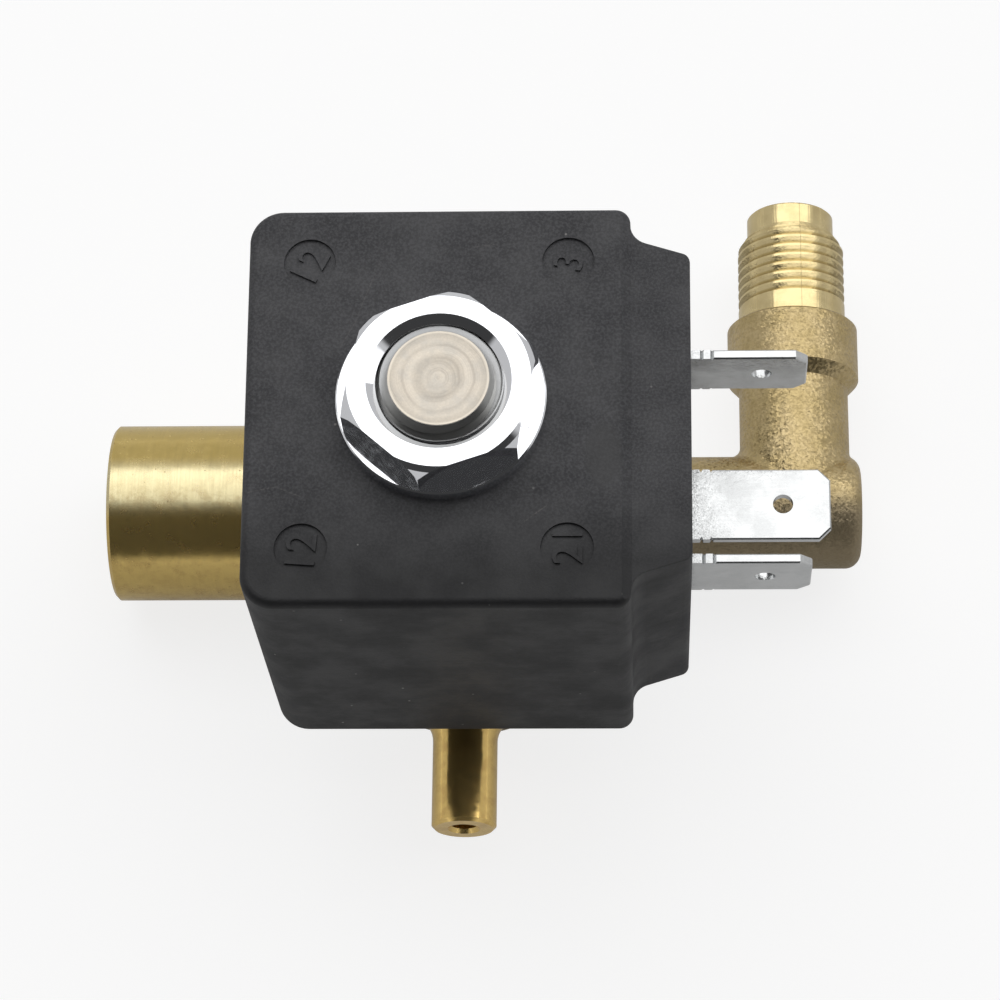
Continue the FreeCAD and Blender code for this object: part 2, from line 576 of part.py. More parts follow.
def yoke_plate():
    """Upper plate of the magnetic frame, slotted for the bracket's tenons."""
    body = new_body("yoke_plate")

    def draw(sketch):
        rectangle(sketch, "-leg_outside", "leg_outside", "plate_half_width")
        ring(sketch, "0", "0", "coil_bore_radius")
    raised(body, "plate", "XY", draw, "plate_thickness", {"z": "bobbin_top"})

    def slots(sketch):
        rectangle(sketch, "-leg_outside", "-leg_inside", "tenon_half_width")
        rectangle(sketch, "leg_inside", "leg_outside", "tenon_half_width")
    raised(body, "slots", "XY", slots, "plate_thickness", {"z": "bobbin_top"}, cut=True, against=True)
    return body


def bobbin():
    """Plastic spool that the wire is wound on."""
    body = new_body("bobbin")
    low, high = "bobbin_level + bobbin_flange", "bobbin_top - bobbin_flange"
    turned(body, "spool", "XZ", [
        ("coil_bore_radius", "bobbin_level"), ("bobbin_radius", "bobbin_level"), ("bobbin_radius", low),
        ("bobbin_core_radius", low), ("bobbin_core_radius", high), ("bobbin_radius", high),
        ("bobbin_radius", "bobbin_top"), ("coil_bore_radius", "bobbin_top")])
    return body


def wound(label, inner, outer):
    """A layer that fills the bobbin between its flanges, from one radius to another."""
    body = new_body(label)
    low, high = "bobbin_level + bobbin_flange", "bobbin_top - bobbin_flange"
    turned(body, "layer", "XZ", [(inner, low), (outer, low), (outer, high), (inner, high)])
    return body


def copper_winding():
    """The winding, as one solid ring of wire."""
    return wound("copper_winding", "bobbin_core_radius", "winding_radius")


def winding_tape():
    """Insulating tape round the winding, with a hole for each lead."""
    body = wound("winding_tape", "winding_radius", "tape_radius")

    def draw(sketch):
        for side in ("-", ""):
            ring(sketch, side + "blade_spacing / 2", "blade_level", "lead_radius")
    raised(body, "lead_holes", "YZ", draw, "leg_outside", cut=True, against=True)
    return body


def winding_lead(label, side):
    """Wire from the winding's surface to one blade's root; side is "-" or ""."""
    body = new_body(label)
    raised(body, "wire", "YZ", lambda sketch: ring(sketch, side + "blade_spacing / 2", "blade_level",
                                                   "lead_radius"), "blade_root")
    raised(body, "winding_surface", "XY", lambda sketch: ring(sketch, "0", "0", "winding_radius"),
           "blade_width", {"z": "blade_level"}, cut=True, both_ways=True)
    return body


def blade_outline(sketch, low, high, root, reach):
    """Outline of a blade along x: notches in each long edge and a chamfered tip."""
    corners = [(root, low)]
    steps = [("0", "0"), ("notch_width / 2", "notch_depth"), ("notch_width", "0")]
    notches = range(int(size("notch_count")))
    for k in notches:
        corners += [(f"notch_start + {k} * notch_spacing + {x}", f"{low} + {y}") for x, y in steps]
    corners += [(f"{reach} - blade_chamfer", low), (reach, f"{low} + blade_chamfer"),
                (reach, f"{high} - blade_chamfer"), (f"{reach} - blade_chamfer", high)]
    for k in reversed(notches):
        corners += [(f"notch_start + {k} * notch_spacing + {x}", f"{high} - {y}") for x, y in reversed(steps)]
    corners.append((root, high))
    outline(sketch, corners)


def bevelled_blade(body, blade):
    """Bevel the blade's edges from the notches to its tip."""
    past_notches = size("notch_start + notch_count * notch_spacing")

    def chosen(edge):
        straight = type(edge.Curve).__name__ == "Line"
        return straight and edge.CenterOfMass.x > past_notches and not near(edge.Length, "blade_thickness")
    return rounded(body, "bevel", blade, chosen, "blade_bevel", bevel=True)


def coil_terminal(label, side):
    """Blade terminal of the winding, standing on edge; side is "-" or ""."""
    body = new_body(label)

    def draw(sketch):
        blade_outline(sketch, "blade_level - blade_width / 2", "blade_level + blade_width / 2", "blade_root",
                      "blade_reach")
        ring(sketch, "blade_hole_reach", "blade_level", "blade_hole_radius")
    away = "blade_spacing / 2" if side == "-" else "-blade_spacing / 2"
    blade = raised(body, "blade", "XZ", draw, "blade_thickness", {"z": away}, both_ways=True)
    bevelled_blade(body, blade)
    return body


def earth_terminal():
    """Earth blade, lying flat, with a foot bent down and riveted to the yoke's leg."""
    body = new_body("earth_terminal")

    def draw(sketch):
        blade_outline(sketch, "-blade_width / 2", "blade_width / 2", "leg_outside", "earth_reach")
        ring(sketch, "earth_hole_reach", "0", "blade_hole_radius")
    blade = raised(body, "blade", "XY", draw, "blade_thickness", {"z": "earth_level"})
    bevelled_blade(body, blade)
    raised(body, "foot", "XY", lambda sketch: rectangle(sketch, "leg_outside", "leg_outside + blade_thickness",
                                                        "blade_width / 2"), "earth_foot",
           {"z": "earth_level"}, against=True)
    raised(body, "rivet_hole", "YZ", lambda sketch: ring(sketch, "0", rivet_level(), "rivet_radius"),
           "leg_outside + blade_thickness + rivet_head", cut=True, against=True)
    return body


def earth_rivet():
    """Rivet through the leg and the earth terminal's foot."""
    body = new_body("earth_rivet")
    face = "leg_outside + blade_thickness"
    turned(body, "rivet", "XY", [
        ("leg_inside", "0"), ("leg_inside", "rivet_radius"), (face, "rivet_radius"),
        (face, "rivet_head_radius"), (f"{face} + rivet_head", "rivet_head_radius - rivet_head"),
        (f"{face} + rivet_head", "0")], "H_Axis", {"z": rivet_level()})
    return body


# ------------------------------------------------------------------------------------------ the moulding
def coil_corners(taper, block_taper):
    """The moulding's outline at one level: the block with its connector block, given what tapers away."""
    side, root, face = f"coil_half_depth - {taper}", f"block_root - {block_taper}", f"block_face - {block_taper}"
    right = [("coil_right", side), ("coil_right", root), ("block_reach", face)]
    return ([("coil_splay - coil_left", f"-({side})")] + [(x, f"-({y})") for x, y in right]
            + [(x, y) for x, y in reversed(right)] + [("-coil_left", side)])


def coil_housing(embedded):
    """Moulded housing, hollowed by everything embedded in it."""
    body = new_body("housing_blank")
    top = new_sketch(body, "top_outline", "XY", {"z": "coil_top"})
    outline(top, coil_corners("0", "0"))
    foot = new_sketch(body, "foot_outline", "XY", {"z": "coil_level"})
    outline(foot, coil_corners("coil_taper", "block_taper"))
    block = body.newObject("PartDesign::AdditiveLoft", "block")
    block.Profile = top
    block.Sections = [foot]
    block.Ruled = True

    def upright(x, low_y, high_y, slack="slip_clearance"):
        """Choose the tall edges near one x whose distance from the middle lies between two lengths."""
        return lambda edge: (near(edge.BoundBox.ZLength, "coil_height")
                             and near(edge.CenterOfMass.x, x, size(slack))
                             and size(low_y) < abs(edge.CenterOfMass.y) < size(high_y))
    block = rounded(body, "left_corners", block, upright("-coil_left", "0", "2 * coil_half_depth",
                                                         "coil_splay + slip_clearance"), "coil_corner")
    block = rounded(body, "right_corners", block, upright("coil_right", "block_root", "2 * coil_half_depth"),
                    "coil_corner_right")
    block = rounded(body, "coves", block, upright("coil_right", "block_face", "block_root"), "block_cove")
    block = rounded(body, "block_corners", block, upright("block_reach", "0", "block_root"), "block_corner")

    def rim(level):
        return lambda edge: near(edge.BoundBox.ZMin, level) and near(edge.BoundBox.ZMax, level)
    block = rounded(body, "top_rim", block, rim("coil_top"), "coil_edge")
    rounded(body, "foot_rim", block, rim("coil_level"), "coil_foot_edge")

    past, over = "block_reach + block_step", "coil_top + block_step"
    floor = "coil_top - block_step"
    raised(body, "block_step_cut", "XZ", lambda sketch: outline(sketch, [
        ("block_step_start", "coil_top"), ("block_step_start + block_step_width", floor), (past, floor),
        (past, over), ("block_step_start", over)]), "2 * (coil_half_depth + block_step)", cut=True, both_ways=True)
    raised(body, "bore", "XY", lambda sketch: ring(sketch, "0", "0", "coil_bore_radius"), "coil_height",
           {"z": "coil_top"}, cut=True)

    def stamps(sketch):
        for x in ("-stamp_left", "stamp_right"):
            for y in ("-stamp_offset", "stamp_offset"):
                ring(sketch, x, y, "stamp_radius")
    raised(body, "stamps", "XY", stamps, "stamp_depth", {"z": "coil_top"}, cut=True)

    contents = doc.addObject("Part::Compound", "embedded_parts")
    contents.Links = embedded
    housing = doc.addObject("Part::Cut", "coil_housing")
    housing.Label = "coil_housing"
    housing.Base = body
    housing.Tool = contents
    return housing


def check(parts):
    """Stop unless every object was computed and every part is one valid closed solid."""
    for item in doc.Objects:
        if any(word in state for state in item.State for word in ("Invalid", "Error")):
            raise RuntimeError(f"{item.Label}: {item.State}")
    for part in parts:
        shape = part.Shape
        if shape.isNull() or not shape.isValid() or len(shape.Solids) != 1 or shape.Volume <= 0:
            raise RuntimeError(f"{part.Label}: not one valid solid")


def main():
    embedded = [yoke_bracket(), yoke_plate(), bobbin(), copper_winding(), winding_tape(),
                winding_lead("winding_lead_upper", ""), winding_lead("winding_lead_lower", "-"),
                coil_terminal("coil_terminal_upper", ""), coil_terminal("coil_terminal_lower", "-"),
                earth_terminal(), earth_rivet()]
    parts = [valve_body(), seat_insert(), tube_o_ring(), armature_tube(), tube_collar(), fixed_core(),
             shading_ring(), hex_flange_nut(), plunger(), plunger_seal(), return_spring(),
             coil_housing(embedded)] + embedded
    doc.recompute()
    check(parts)
    os.makedirs("parts", exist_ok=True)
    for part in parts:
        part.Shape.exportStep(f"parts/{part.Label}.step")
        print(f"{part.Label:22s} {part.Shape.Volume:10.2f} mm3  faces {len(part.Shape.Faces)}")


main()
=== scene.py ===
"""Solenoid valve: finishes, moulded numbers, studio and camera.

Metres, in the valve's own frame: the origin is on the armature tube's axis at the body's flat underside,
+Z runs up the tube to the nut, +X from the inlet boss to the outlet elbow, +Y the way the outlet points.
"""

import json
import math

import bmesh
import bpy
import numpy as np
from mathutils import Matrix, Vector


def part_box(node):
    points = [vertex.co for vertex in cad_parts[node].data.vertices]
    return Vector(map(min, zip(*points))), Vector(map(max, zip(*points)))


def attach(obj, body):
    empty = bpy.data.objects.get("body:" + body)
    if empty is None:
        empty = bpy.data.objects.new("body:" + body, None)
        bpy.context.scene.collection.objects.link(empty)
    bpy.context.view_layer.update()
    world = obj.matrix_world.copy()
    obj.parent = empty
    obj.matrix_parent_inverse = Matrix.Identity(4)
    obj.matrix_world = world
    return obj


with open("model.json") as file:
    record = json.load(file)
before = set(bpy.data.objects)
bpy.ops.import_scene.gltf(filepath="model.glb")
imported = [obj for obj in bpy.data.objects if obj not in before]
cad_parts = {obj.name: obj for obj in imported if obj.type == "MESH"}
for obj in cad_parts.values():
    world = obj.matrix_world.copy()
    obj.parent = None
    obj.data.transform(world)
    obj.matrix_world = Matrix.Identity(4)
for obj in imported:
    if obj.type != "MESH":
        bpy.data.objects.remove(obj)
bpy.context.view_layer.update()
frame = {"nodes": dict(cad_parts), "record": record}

MM = 0.001

# The forged body: its ports' axes, and where its turned boss, outlet and spigot begin.
mounts = {mount["name"]: Vector(mount["pos_m"]) for mount in frame["record"]["mounts"]}
BODY_LOW, BODY_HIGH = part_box("valve_body")
PORT_Y = mounts["inlet_thread"].y
PORT_Z = mounts["outlet_thread"].z
NECK_X = mounts["outlet_thread"].x
BOSS_END_X = BODY_LOW.x + 18.2 * MM
SPIGOT_Y = BODY_LOW.y + 10.0 * MM
THREAD_Y = BODY_HIGH.y - 11.36 * MM
NOSE_Y = BODY_HIGH.y - 3.6 * MM
CREST_RADIUS = 4.6 * MM
ROOT_RADIUS = 4.32 * MM
TOP_LINE_X = NECK_X + 0.74 * MM

# The coil's moulding and the stud's end.
COIL_LOW, COIL_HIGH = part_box("coil_housing")
COIL_TOP_Z = COIL_HIGH.z
STUD_TOP_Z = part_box("fixed_core")[1].z
STUD_FACE_RADIUS = 3.94 * MM

# Over this stretch painted shade darkens the coil's moulding towards the front.
PAINTED_SHADE_FROM_Y = -4.5 * MM
PAINTED_SHADE_TO_Y = -16.0 * MM

# Wear on the coil's top: a stain's centre and half widths, and scratches by x, y, direction in degrees,
# length and width. Millimetres.
STAIN_CENTRE = (12.7, -4.4)
STAIN_HALF = (1.5, 2.6)
SCRATCHES = [
    (-14.0, -7.3, 12.0, 3.2, 0.06),
    (-11.8, -7.5, -22.0, 2.6, 0.06),
    (-6.2, 9.3, 70.0, 4.6, 0.05),
    (-7.4, 6.2, 62.0, 3.6, 0.05),
    (7.4, -9.4, 38.0, 3.4, 0.08),
    (3.2, 13.6, 8.0, 2.4, 0.05),
    (11.8, 3.2, -64.0, 2.8, 0.05),
]

# Moulded numbers in the four round recesses: text, x and y in millimetres, and the way it reads, in degrees.
MARK_HEIGHT = 2.35 * MM
MARK_FOOT_Z = COIL_TOP_Z - 0.3 * MM
MARK_TOP_Z = COIL_TOP_Z - 0.04 * MM
MARKS = [
    ("12", -10.75, 12.2, 64.0),
    ("12", -10.75, -12.2, 86.0),
    ("3", 9.9, 12.2, 78.0),
    ("21", 9.9, -12.2, 90.0),
]

# Softbox, on a ceiling one unit up: its edges across and along the room, the corner that is cut off where
# across plus along is small, the heights (a direction's z) over which it fades in, the seam between its two
# cloths, and its level at the near and far edge.
BOX_ACROSS = (-0.85, 1.50)
BOX_ALONG = (-0.11, 0.82)
BOX_CORNER = (-0.36, -0.29)
BOX_FADE = (0.25, 0.35)
BOX_SEAM = (0.566, 0.586)
BOX_LEVEL = (1.2, 2.0)
BOX_SEAM_LEVEL = 0.3

# Dark screen on the operator's side: bearings in degrees from -Y towards +X, heights as a direction's z. Its
# left end lies further round above SCREEN_STEP, and its foot is lower beyond SCREEN_FOOT_TURN. WALL_LEVEL is
# the walls' level at the horizon and above it.
SCREEN_RIGHT = 76.0
SCREEN_LEFT = (-78.0, -112.0)
SCREEN_STEP = (0.70, 0.88)
SCREEN_FOOT = (0.156, 0.03)
SCREEN_FOOT_TURN = (20.0, 45.0)
SCREEN_TOP = (0.94, 1.0)
SCREEN_SOFT = 4.0
SCREEN_FOOT_SOFT = 0.03
SCREEN_LEVEL = 0.045
WALL_LEVEL = (0.62, 0.55)

# White floor: its own glow and its diffuse share to the camera, the share of that white in mirrors, and its
# plain grey to everything else.
FLOOR_HALF = 3.0
FLOOR_Z = -0.02 * MM
FLOOR_GLOW = 0.80
FLOOR_SHADE = 0.27
FLOOR_MIRRORED = 0.30
FLOOR_GREY = 0.60

# Camera: place, turns about X, Y and Z in degrees, and focal length in millimetres.
EYE = Vector((16.0, -108.64, 304.07)) * MM
CAMERA_PITCH = 21.562
CAMERA_YAW = 2.374
CAMERA_ROLL = -0.253
CAMERA_LENS = 126.83


# ------------------------------------------------------------------------------------------ node helpers
class Nodes:
    """Short ways to add nodes to one node tree; its patterns are laid out in one kind of coordinate."""

    def __init__(self, tree, coordinate):
        self.tree = tree
        self.place = self.node("ShaderNodeTexCoord").outputs[coordinate]

    def node(self, kind, inputs=None, **settings):
        made = self.tree.nodes.new(kind)
        for key, value in settings.items():
            setattr(made, key, value)
        for key, value in (inputs or {}).items():
            self.feed(made.inputs[key], value)
        return made

    def feed(self, target, value):
        """A pattern is linked to a socket; a number or colour is set on it."""
        if isinstance(value, bpy.types.NodeSocket):
            self.tree.links.new(value, target)
        elif isinstance(value, tuple) and target.type == "RGBA":
            target.default_value = (*value, 1)
        else:
            target.default_value = value

    def maths(self, operation, *values):
        return self.node("ShaderNodeMath", dict(enumerate(values)), operation=operation).outputs[0]

    def product(self, first, *others):
        for other in others:
            first = self.maths("MULTIPLY", first, other)
        return first

    def largest(self, first, *others):
        for other in others:
            first = self.maths("MAXIMUM", first, other)
        return first

    def vectors(self, operation, *values):
        return self.node("ShaderNodeVectorMath", dict(enumerate(values)), operation=operation).outputs[0]

    def axes(self):
        """The x, y and z of the coordinate."""
        return self.node("ShaderNodeSeparateXYZ", {0: self.place}).outputs

    def stretched(self, *steps):
        """The coordinate in steps of a length, in millimetres, along each of X, Y and Z."""
        scale = tuple(1 / (step * MM) for step in steps)
        return self.node("ShaderNodeMapping", {"Vector": self.place, "Scale": scale}).outputs[0]

    def noise(self, size, detail=2.0, rough=0.5, place=None):
        """Smooth noise whose lumps are about size metres across, 0 to 1 about a middle of 0.5."""
        inputs = {"Vector": place or self.place, "Scale": 1 / size, "Detail": detail, "Roughness": rough}
        return self.node("ShaderNodeTexNoise", inputs).outputs["Fac"]

    def streaks(self, steps, detail=3.0, rough=0.6):
        """Noise drawn out along the axes: it changes over each of the steps, in millimetres."""
        return self.noise(1.0, detail, rough, self.stretched(*steps))

    def cells(self, size, output="Distance"):
        """Distance to the nearest of points scattered about size metres apart, or that point's colour."""
        return self.node("ShaderNodeTexVoronoi", {"Vector": self.place, "Scale": 1 / size}).outputs[output]

    def between(self, value, low, high, from_value=0.0, to_value=1.0):
        """A smooth step in value from low to high."""
        inputs = {"Value": value, "From Min": low, "From Max": high, "To Min": from_value, "To Max": to_value}
        return self.node("ShaderNodeMapRange", inputs, interpolation_type="SMOOTHSTEP").outputs[0]

    def window(self, value, low, high, edge):
        """1 between low and high, falling to 0 over an edge on each side."""
        rise = self.between(value, low - edge, low + edge)
        fall = self.between(value, high + edge, high - edge)
        return self.product(rise, fall)

    def radius(self, first, second):
        """Distance from an axis, from the two coordinates across it."""
        squares = self.maths("ADD", self.product(first, first), self.product(second, second))
        return self.maths("SQRT", squares)

    def mixed(self, share, first, second):
        """Two colours, or colour patterns, mixed by a share."""
        return self.node("ShaderNodeMix", {0: share, 6: first, 7: second}, data_type="RGBA").outputs[2]

    def blended(self, share, first, second):
        """Two numbers, or number patterns, mixed by a share."""
        return self.node("ShaderNodeMix", {0: share, 2: first, 3: second}, data_type="FLOAT").outputs[0]

    def bump(self, height, depth, under=None):
        """Relief of a height pattern 0 to 1 that stands depth metres high, on top of the relief under it."""
        inputs = {"Height": height, "Distance": depth, "Strength": 1.0}
        if under is not None:
            inputs["Normal"] = under
        return self.node("ShaderNodeBump", inputs).outputs["Normal"]


class Finish(Nodes):
    """A surface finish: one Principled shader and the pattern nodes that lead into it."""

    def __init__(self, name, colour, metallic, roughness, **sockets):
        self.material = bpy.data.materials.new(name)
        self.material.use_nodes = True
        super().__init__(self.material.node_tree, "Object")
        self.shader = self.tree.nodes["Principled BSDF"]
        self.set("Base Color", colour)
        self.set("Metallic", metallic)
        self.set("Roughness", roughness)
        for socket, value in sockets.items():
            self.set(socket.replace("_", " "), value)

    def set(self, socket, value):
        self.feed(self.shader.inputs[socket], value)

    def facetted(self, normal, share, size, tilt):
        """A normal tipped another way in each of many small cells, as on a blasted or crystalline surface."""
        away = self.vectors("SUBTRACT", self.cells(size, "Color"), (0.5, 0.5, 0.5))
        amount = self.product(share, tilt)
        lean = self.node("ShaderNodeVectorMath", {0: away, "Scale": amount}, operation="SCALE").outputs[0]
        return self.vectors("NORMALIZE", self.vectors("ADD", normal, lean))


# ------------------------------------------------------------------------------------------- valve body
class BodyBrass(Finish):
    """Hot-forged brass, blasted, with the inlet boss, the outlet's thread and nose, and the spigot turned."""

    def __init__(self):
        super().__init__("valve_brass", (0.72, 0.56, 0.28), 1.0, 0.4)
        self.x, self.y, self.z = self.axes()
        self.boss = self.between(self.x, BOSS_END_X + 0.3 * MM, BOSS_END_X - 0.1 * MM)
        self.thread = self.between(self.y, THREAD_Y, THREAD_Y + 0.05 * MM)
        self.spigot = self.between(self.y, SPIGOT_Y, SPIGOT_Y - 0.3 * MM)
        foot = self.between(self.z, 0.3 * MM, 0.2 * MM)
        self.turned = self.largest(self.boss, self.thread, self.spigot, foot)
        self.forged = self.maths("SUBTRACT", 1.0, self.turned)
        # The side towards -Y: painted shade darkens its colour, and it is rougher and duller there.
        self.low = self.between(self.y, PORT_Y + 1.0 * MM, PORT_Y - 2.6 * MM)
        self.grain = self.noise(0.30 * MM, 2.0, 0.6)
        self.cloud = self.noise(1.1 * MM, 4.0, 0.68)
        self.rings = self.streaks((0.16, 4, 4), 4.0, 0.65)
        off_axis = self.vectors("SUBTRACT", self.place, (NECK_X, 0, PORT_Z))
        self.outward = self.vectors("MULTIPLY", off_axis, (1, 0, 1))

        self.paint()
        self.polish()
        self.shape()

    def forged_skin(self):
        """Small glittering facets with painted shade in the creases between them, over slow changes of tint,
        and painted shade on the side towards -Y.
        """
        tint = self.noise(3.0 * MM, 3.0, 0.6)
        skin = self.mixed(self.between(tint, 0.35, 0.65), (0.53, 0.41, 0.20), (0.61, 0.48, 0.26))
        # Painted shade in the creases between the facets.
        creases = self.between(self.grain, 0.56, 0.38, 0.0, 0.35)
        skin = self.mixed(creases, skin, (0.38, 0.28, 0.13))
        # Painted shade on the side towards -Y.
        return self.mixed(self.product(self.low, 0.8), skin, (0.31, 0.255, 0.175))

    def boss_skin(self):
        """Deeper yellow, with fine rings from the tool, stains beside the coil, painted shade on the side
        towards -Y, a painted highlight along its top, and small pits.
        """
        near_coil = self.between(self.x, COIL_LOW.x - 7.32 * MM, COIL_LOW.x + 0.18 * MM)
        # Stains beside the coil, and painted shade on the side towards -Y.
        stain_and_shade = self.product(self.largest(near_coil, self.product(self.low, 0.6)),
                               self.between(self.cloud, 0.42, 0.64))
        # Painted highlight: a paler colour along the boss's top.
        painted_highlight = self.product(self.window(self.y, PORT_Y - 2.6 * MM, PORT_Y + 1.7 * MM, 0.9 * MM),
                             self.between(self.z, PORT_Z + 5 * MM, PORT_Z + 6 * MM))
        pits = self.between(self.cells(0.9 * MM), 0.11, 0.06)
        skin = self.mixed(self.between(self.cloud, 0.3, 0.7), (0.69, 0.515, 0.17), (0.75, 0.565, 0.20))
        # Painted shade: a deeper tone on the side towards -Y.
        skin = self.mixed(self.product(self.low, 0.6), skin, (0.74, 0.525, 0.175))
        skin = self.mixed(painted_highlight, skin, (0.80, 0.705, 0.42))
        skin = self.mixed(self.between(self.rings, 0.60, 0.40, 0.0, 0.16), skin, (0.52, 0.38, 0.14))
        skin = self.mixed(self.product(stain_and_shade, 0.6), skin, (0.46, 0.30, 0.10))
        return self.mixed(self.product(pits, 0.6), skin, (0.28, 0.18, 0.06))

    def thread_skin(self):
        """Paler, with painted shade in the thread's roots and a thin dark line along its top."""
        tint = self.between(self.noise(1.6 * MM, 3.0), 0.4, 0.7, 0.0, 0.6)
        skin = self.mixed(tint, (0.76, 0.62, 0.33), (0.61, 0.48, 0.24))
        length = self.node("ShaderNodeVectorMath", {0: self.outward}, operation="LENGTH")
        # Painted shade in the thread's roots.
        root = self.product(self.between(length.outputs["Value"], CREST_RADIUS, ROOT_RADIUS),
                            self.between(self.y, NOSE_Y + 1.4 * MM, NOSE_Y))
        skin = self.mixed(self.product(root, 0.75), skin, (0.44, 0.31, 0.10))
        # A thin dark line along the thread's top.
        thin_line = self.product(self.window(self.x, TOP_LINE_X - 0.03 * MM, TOP_LINE_X + 0.03 * MM, 0.03 * MM),
                            self.thread, self.between(self.z, PORT_Z + 2 * MM, PORT_Z + 3 * MM))
        return self.mixed(self.product(thin_line, 0.65), skin, (0.30, 0.23, 0.11))

    def spigot_skin(self):
        """Golden, with a mottle of handling."""
        mottle = self.between(self.cloud, 0.42, 0.68, 0.0, 0.6)
        return self.mixed(mottle, (0.92, 0.65, 0.23), (0.72, 0.47, 0.16))

    def paint(self):
        """Each part's own skin. A thin oxide dulls all but the thread and the forging's upper side."""
        colour = self.mixed(self.boss, self.forged_skin(), self.boss_skin())
        colour = self.mixed(self.thread, colour, self.thread_skin())
        self.set("Base Color", self.mixed(self.spigot, colour, self.spigot_skin()))
        oxide = self.largest(self.boss, self.product(self.low, self.forged), self.product(self.spigot, 0.6))
        self.set("Metallic", self.maths("SUBTRACT", 1.0, self.product(oxide, 0.20)))

    def polish(self):
        """Satin on the forging, brighter where it is turned."""
        rough = self.blended(self.low, self.between(self.grain, 0.35, 0.65, 0.40, 0.31), 0.55)
        rough = self.blended(self.boss, rough, self.between(self.cloud, 0.3, 0.7, 0.19, 0.28))
        rough = self.blended(self.thread, rough, self.between(self.cloud, 0.3, 0.7, 0.18, 0.28))
        rough = self.blended(self.spigot, rough, self.between(self.cloud, 0.3, 0.7, 0.12, 0.22))
        self.set("Roughness", rough)

    def shape(self):
        """Relief. The thread's crests are worn round, so its flanks are shaded more like a plain bar's."""
        as_made = self.node("ShaderNodeNewGeometry").outputs["Normal"]
        as_bar = self.vectors("NORMALIZE", self.outward)
        worn = self.node("ShaderNodeMix", {0: self.product(self.thread, 0.82), 4: as_made, 5: as_bar},
                         data_type="VECTOR").outputs[1]
        relief = self.bump(self.product(self.grain, self.forged), 0.07 * MM, self.vectors("NORMALIZE", worn))
        relief = self.bump(self.product(self.rings, self.boss), 0.0025 * MM, relief)
        relief = self.bump(self.product(self.noise(2.2 * MM), self.turned), 0.035 * MM, relief)
        bars = self.largest(self.product(self.spigot, 0.3), self.thread)
        relief = self.bump(self.product(self.streaks((4, 0.15, 4), 2.0), bars), 0.006 * MM, relief)
        relief = self.bump(self.product(self.streaks((0.9, 14, 0.9)), self.thread), 0.05 * MM, relief)
        self.set("Normal", self.facetted(relief, self.forged, 0.20 * MM, 0.31))


# ------------------------------------------------------------------------------------ coil and terminals
def scratch(finish, x, y, angle, length, width):
    """Share of a fine straight scratch along XY that fades towards its ends; millimetres and degrees."""
    turn = math.radians(angle)
    place_x, place_y, _ = finish.axes()
    right = finish.maths("SUBTRACT", place_x, x * MM)
    up = finish.maths("SUBTRACT", place_y, y * MM)
    along = finish.maths("ADD", finish.product(right, math.cos(turn)), finish.product(up, math.sin(turn)))
    across = finish.maths("ADD", finish.product(right, -math.sin(turn)), finish.product(up, math.cos(turn)))
    near = finish.between(finish.maths("ABSOLUTE", across), width * MM, width * MM * 0.3)
    inside = finish.between(finish.maths("ABSOLUTE", along), length * MM / 2, length * MM * 0.2)
    return finish.product(near, inside)


def oval(finish, centre, half):
    """Share of an oval in the XY plane; its centre and half widths in millimetres."""
    x, y, _ = finish.axes()
    out_x = finish.maths("DIVIDE", finish.maths("SUBTRACT", x, centre[0] * MM), half[0] * MM)
    out_y = finish.maths("DIVIDE", finish.maths("SUBTRACT", y, centre[1] * MM), half[1] * MM)
    return finish.between(finish.radius(out_x, out_y), 1.15, 0.8)


def coil_plastic():
    """Matt black thermoset with a faint moulded grain, dust, a wiped stain and a few fine scratches.

    It is painted darker towards the front, as shade.
    """
    coil = Finish("coil_plastic", (0.031, 0.031, 0.033), 0.0, 0.55, IOR=1.5)
    _, y, z = coil.axes()
    top = coil.between(z, COIL_TOP_Z - 0.15 * MM, COIL_TOP_Z - 0.05 * MM)
    cloud = coil.noise(4.5 * MM, 4.0, 0.62)
    grain = coil.noise(0.22 * MM, 3.0, 0.7)
    tone = coil.mixed(coil.between(cloud, 0.3, 0.72), (0.032, 0.032, 0.036), (0.048, 0.048, 0.052))
    tone = coil.mixed(coil.between(grain, 0.38, 0.66, 0.0, 0.85), tone, (0.083, 0.083, 0.089))
    # Painted shade: the moulding darkens towards the front.
    painted_front_shade = coil.between(y, PAINTED_SHADE_FROM_Y, PAINTED_SHADE_TO_Y)
    tone = coil.mixed(coil.product(painted_front_shade, 0.93), tone, (0.008, 0.008, 0.009))

    scratches = coil.largest(*[scratch(coil, *place) for place in SCRATCHES])
    scratches = coil.product(scratches, top, coil.between(grain, 0.38, 0.6, 0.15, 0.75))
    tone = coil.mixed(coil.product(scratches, 0.7), tone, (0.13, 0.12, 0.115))
    dust = coil.product(coil.between(coil.cells(1.9 * MM), 0.07, 0.03),
                        coil.between(coil.noise(7 * MM, 1.0), 0.47, 0.60))
    tone = coil.mixed(dust, tone, (0.32, 0.31, 0.30))
    stain = coil.product(top, oval(coil, STAIN_CENTRE, STAIN_HALF))
    coil.set("Base Color", coil.mixed(coil.product(stain, 0.55), tone, (0.020, 0.020, 0.021)))

    rough = coil.between(cloud, 0.3, 0.7, 0.66, 0.52)
    coil.set("Roughness", coil.maths("SUBTRACT", rough, coil.product(stain, 0.10)))
    relief = coil.bump(grain, 0.018 * MM)
    relief = coil.bump(coil.streaks((6, 6, 0.6)), 0.012 * MM, relief)
    coil.set("Normal", coil.bump(coil.noise(2.6 * MM), 0.03 * MM, relief))
    return coil.material


